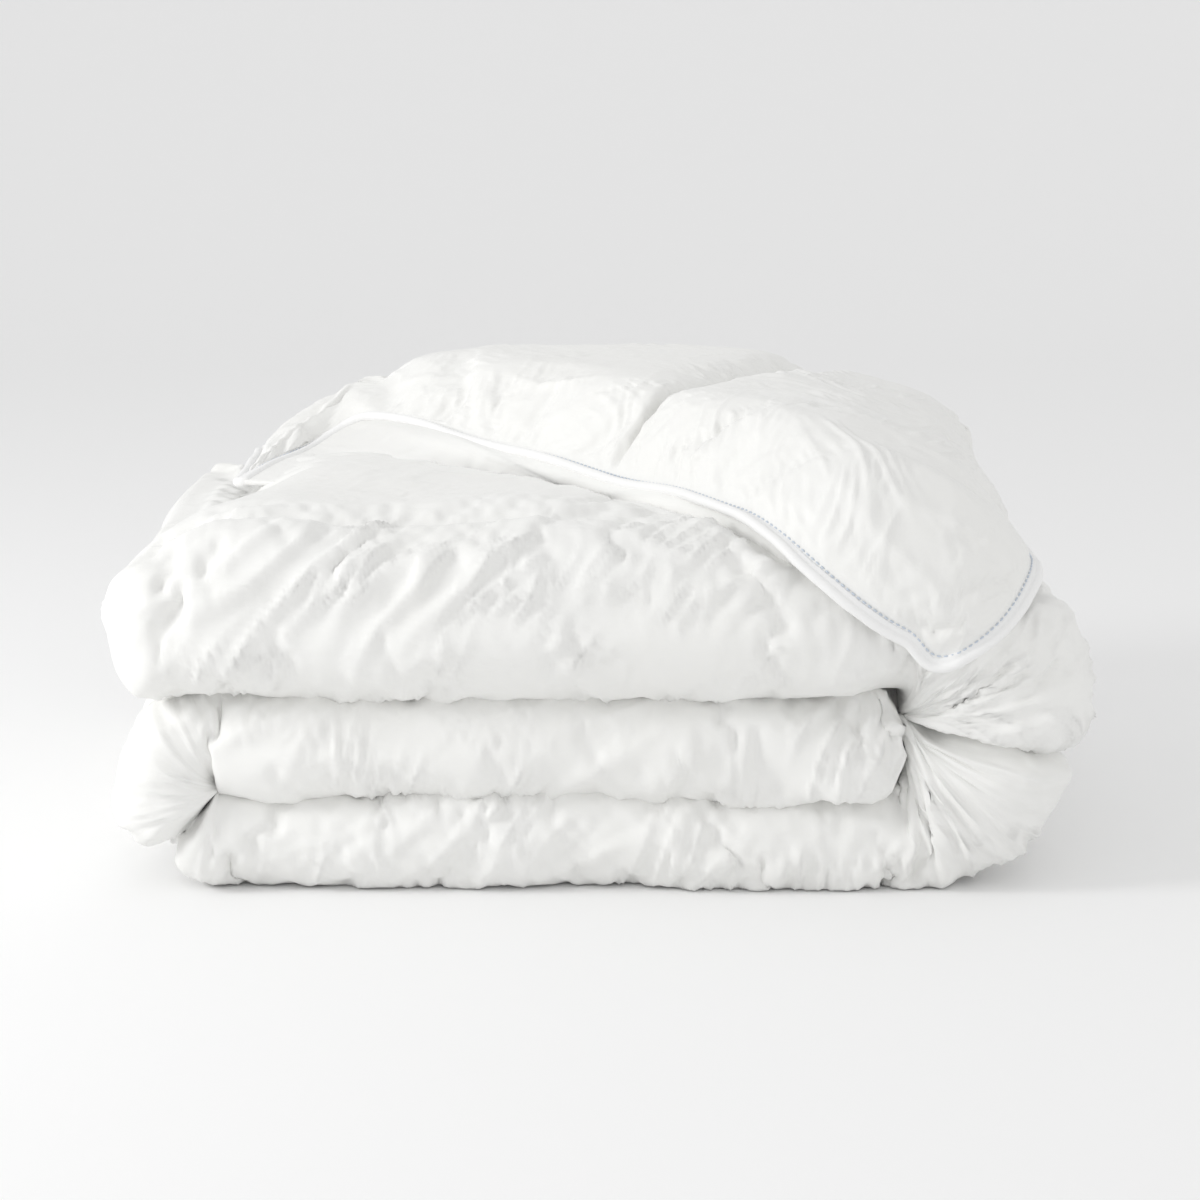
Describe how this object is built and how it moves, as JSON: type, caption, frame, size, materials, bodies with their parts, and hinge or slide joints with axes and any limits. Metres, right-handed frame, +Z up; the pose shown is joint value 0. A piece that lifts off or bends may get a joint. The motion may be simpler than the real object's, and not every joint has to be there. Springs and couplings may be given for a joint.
{
  "type": "folded duvet",
  "caption": "White quilted duvet with a piped edge, folded into a stack of three strips with its outer leaf lying loose over the top.",
  "frame": {"origin": "on the resting surface, under the centre of the folded duvet's box", "axes": "+X towards the right-hand bend and along the strips, +Y towards the back fold of the loose leaf, +Z up"},
  "size_m": [0.7714, 0.5988, 0.355],
  "materials": {
    "cotton_face": "close-woven white cotton with a slight sheen",
    "cotton_lining": "close-woven white cotton with a slight sheen",
    "filling": "loose white filling",
    "quilting_thread": "white sewing thread",
    "edge_thread": "grey-blue sewing thread",
    "piping_cotton": "white cotton bias strip",
    "piping_cord": "twisted cotton filler cord",
    "label_tape": "pale woven tape, blank"
  },
  "bodies": {
    "base": {"base_cross_quilting_1": "quilting_thread", "base_cross_quilting_2": "quilting_thread", "base_cross_quilting_3": "quilting_thread", "base_face_panel": "cotton_face", "base_lining_panel": "cotton_lining", "base_long_quilting_1": "quilting_thread", "base_long_quilting_2": "quilting_thread", "base_piping_cord": "piping_cord", "base_piping_tape": "piping_cotton", "bottom_back_filling": "filling", "bottom_inner_filling": "filling", "bottom_outer_filling": "filling", "middle_back_filling": "filling", "middle_inner_filling": "filling", "middle_outer_filling": "filling", "nose_back_filling": "filling", "nose_inner_filling": "filling", "nose_outer_filling": "filling", "right_bend_back_filling": "filling", "right_bend_inner_filling": "filling", "right_bend_outer_filling": "filling"},
    "upper": {"upper_cross_quilting_1": "quilting_thread", "upper_face_panel": "cotton_face", "upper_left_front_filling": "filling", "upper_left_top_filling": "filling", "upper_left_under_filling": "filling", "upper_lining_panel": "cotton_lining", "upper_long_quilting_1": "quilting_thread", "upper_long_quilting_2": "quilting_thread", "upper_piping_cord": "piping_cord", "upper_piping_tape": "piping_cotton", "upper_right_front_filling": "filling", "upper_right_top_filling": "filling", "upper_right_under_filling": "filling"},
    "loose_leaf": {"leaf_cross_quilting": "quilting_thread", "leaf_edge_stitching": "edge_thread", "leaf_face_panel": "cotton_face", "leaf_left_filling": "filling", "leaf_lining_panel": "cotton_lining", "leaf_piping_cord": "piping_cord", "leaf_piping_tape": "piping_cotton", "leaf_right_filling": "filling"},
    "label": {"care_label": "label_tape"}
  },
  "joints": [
    {"name": "upper_opening", "type": "hinge", "parent": "base", "child": "upper", "pos_m": [0.34962, 0, 0.23722], "axis": [0, 1, 0], "range_deg": [0, 45]},
    {"name": "leaf_turn", "type": "hinge", "parent": "upper", "child": "loose_leaf", "pos_m": [0, 0.2444, 0.286], "axis": [-1, 0, 0], "range_deg": [0, 90]},
    {"name": "label_flip", "type": "hinge", "parent": "loose_leaf", "child": "label", "pos_m": [0.32744, 0.12632, 0.27192], "axis": [-0.1162, -0.9913, 0.0618], "range_deg": [0, 60]}
  ]
}
